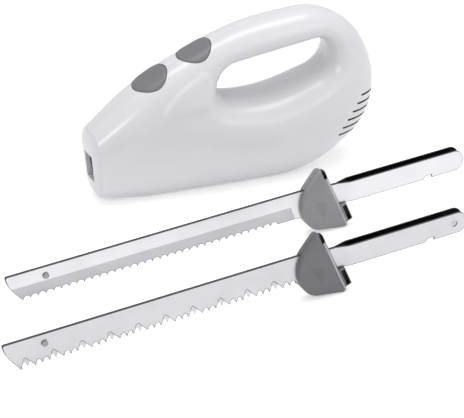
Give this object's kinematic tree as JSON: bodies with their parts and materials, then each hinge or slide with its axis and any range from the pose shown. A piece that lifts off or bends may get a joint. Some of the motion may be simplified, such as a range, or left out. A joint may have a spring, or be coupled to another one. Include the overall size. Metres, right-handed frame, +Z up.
{
  "type": "electric carving knife",
  "caption": "Electric carving knife with a loop handle, two push buttons and two pairs of sliding serrated blades lying beside it.",
  "frame": {"origin": "centre of the housing's flat base, on the parting plane", "axes": "+X from the nose to the rear, +Z up, -Y towards the loose blades"},
  "size_m": [0.3727, 0.2337, 0.1183],
  "materials": {
    "white_plastic": "gloss",
    "grey_plastic": "satin",
    "guard_plastic": "satin",
    "black_plastic": "matte",
    "frame_plastic": "matte",
    "blade_steel": "ground",
    "bright_steel": "polished",
    "spring_steel": "drawn",
    "core_steel": "stamped",
    "copper": "enamelled",
    "bronze": "sintered",
    "gear_nylon": "satin",
    "carbon": "pressed",
    "rubber": "matte"
  },
  "bodies": {
    "housing": {"left_shell": "white_plastic", "right_shell": "white_plastic", "slot_liner": "black_plastic", "cord_bush": "rubber", "housing_screws": "bright_steel", "motor_frame": "frame_plastic", "stator_stack": "core_steel", "field_coils": "copper", "rear_bracket": "spring_steel", "brush_holders": "black_plastic", "carbon_brushes": "carbon", "worm_bearing": "bronze", "front_bearing": "bronze", "rear_bearing": "bronze", "gear_axle": "bright_steel", "switch_body": "black_plastic", "release_spring": "spring_steel", "power_spring": "spring_steel"},
    "power_button": {"power_button": "grey_plastic", "switch_plunger": "black_plastic"},
    "release_button": {"release_button": "grey_plastic", "release_fork": "black_plastic"},
    "armature": {"motor_shaft": "bright_steel", "armature_core": "core_steel", "armature_windings": "copper", "commutator": "copper", "cooling_fan": "black_plastic", "worm": "bright_steel"},
    "gear": {"worm_gear": "gear_nylon"},
    "right_bar": {"drive_bar_right": "frame_plastic", "latch_spring_right": "spring_steel"},
    "left_bar": {"drive_bar_left": "frame_plastic", "latch_spring_left": "spring_steel"},
    "bread_set": {"bread_blade_near": "blade_steel", "bread_guard_near": "guard_plastic", "bread_rivet": "bright_steel"},
    "bread_far_half": {"bread_blade_far": "blade_steel", "bread_guard_far": "guard_plastic"},
    "frozen_set": {"frozen_blade_near": "blade_steel", "frozen_guard_near": "guard_plastic", "frozen_rivet": "bright_steel"},
    "frozen_far_half": {"frozen_blade_far": "blade_steel", "frozen_guard_far": "guard_plastic"}
  },
  "joints": [
    {"name": "power_press", "type": "slide", "parent": "housing", "child": "power_button", "axis": [0.3746, 0, -0.9272], "range_m": [0, 0.003], "stiffness_N_per_m": 400, "springref_m": -0.002, "deforming": ["power_spring"]},
    {"name": "release_press", "type": "slide", "parent": "housing", "child": "release_button", "axis": [0.4848, 0, -0.8746], "range_m": [0, 0.004], "stiffness_N_per_m": 300, "springref_m": -0.003, "deforming": ["release_spring", "latch_spring_left", "latch_spring_right"]},
    {"name": "armature_spin", "type": "hinge", "parent": "housing", "child": "armature", "pos_m": [0.03, 0, 0.03], "axis": [1, 0, 0], "continuous": true},
    {"name": "gear_spin", "type": "hinge", "parent": "housing", "child": "gear", "pos_m": [-0.028, 0, 0.046], "axis": [0, 1, 0], "continuous": true},
    {"name": "right_bar_stroke", "type": "slide", "parent": "housing", "child": "right_bar", "axis": [1, 0, 0], "range_m": [-0.004, 0.004]},
    {"name": "left_bar_stroke", "type": "slide", "parent": "housing", "child": "left_bar", "axis": [1, 0, 0], "range_m": [-0.004, 0.004]},
    {"name": "bread_lift", "type": "slide", "parent": "housing", "child": "bread_set", "axis": [0, 0, 1], "range_m": [0, 0.1]},
    {"name": "bread_stroke", "type": "slide", "parent": "bread_set", "child": "bread_far_half", "axis": [0.9961, 0.0627, 0.0627], "range_m": [-0.0055, 0.0055]},
    {"name": "frozen_lift", "type": "slide", "parent": "housing", "child": "frozen_set", "axis": [0, 0, 1], "range_m": [0, 0.1]},
    {"name": "frozen_stroke", "type": "slide", "parent": "frozen_set", "child": "frozen_far_half", "axis": [0.9959, 0.0627, 0.0653], "range_m": [-0.0055, 0.0055]}
  ],
  "couplings": [
    {"joint": "gear_spin", "follows": "armature_spin", "ratio": 0.041667},
    {"joint": "left_bar_stroke", "follows": "right_bar_stroke", "ratio": -1}
  ]
}
